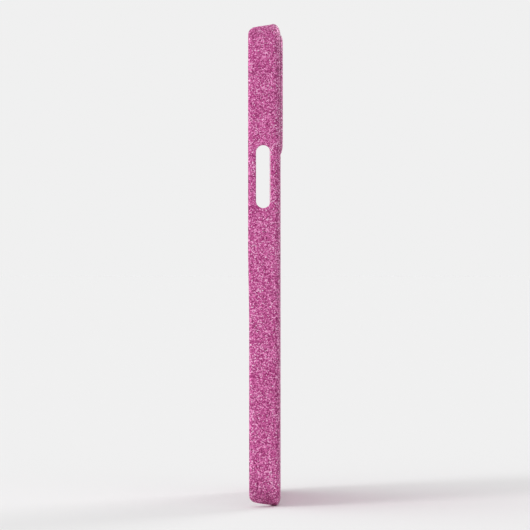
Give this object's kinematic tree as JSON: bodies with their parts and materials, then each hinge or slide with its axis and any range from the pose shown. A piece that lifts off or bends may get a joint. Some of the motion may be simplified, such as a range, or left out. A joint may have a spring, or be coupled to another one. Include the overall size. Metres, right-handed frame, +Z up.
{
  "type": "phone case",
  "caption": "Slim hard case for a flat-sided phone: glitter film over a pale shell, open ends and button slots, raised camera surround.",
  "frame": {"origin": "middle of the bottom of the whole case, with the case standing on its bottom end", "axes": "+Z up to the phone's top end, +X out of the back, -X out of the open front, -Y to the side-button side"},
  "size_m": [0.0108, 0.0742, 0.1493],
  "materials": {
    "shell": "satin moulded polycarbonate",
    "glitter": "fine pink glitter flakes",
    "bezel": "fine pink glitter flakes",
    "lining": "short-pile microfibre"
  },
  "bodies": {
    "root": {"shell": "shell", "glitter_wrap": "glitter", "camera_bezel": "bezel", "back_lining": "lining"}
  },
  "joints": []
}
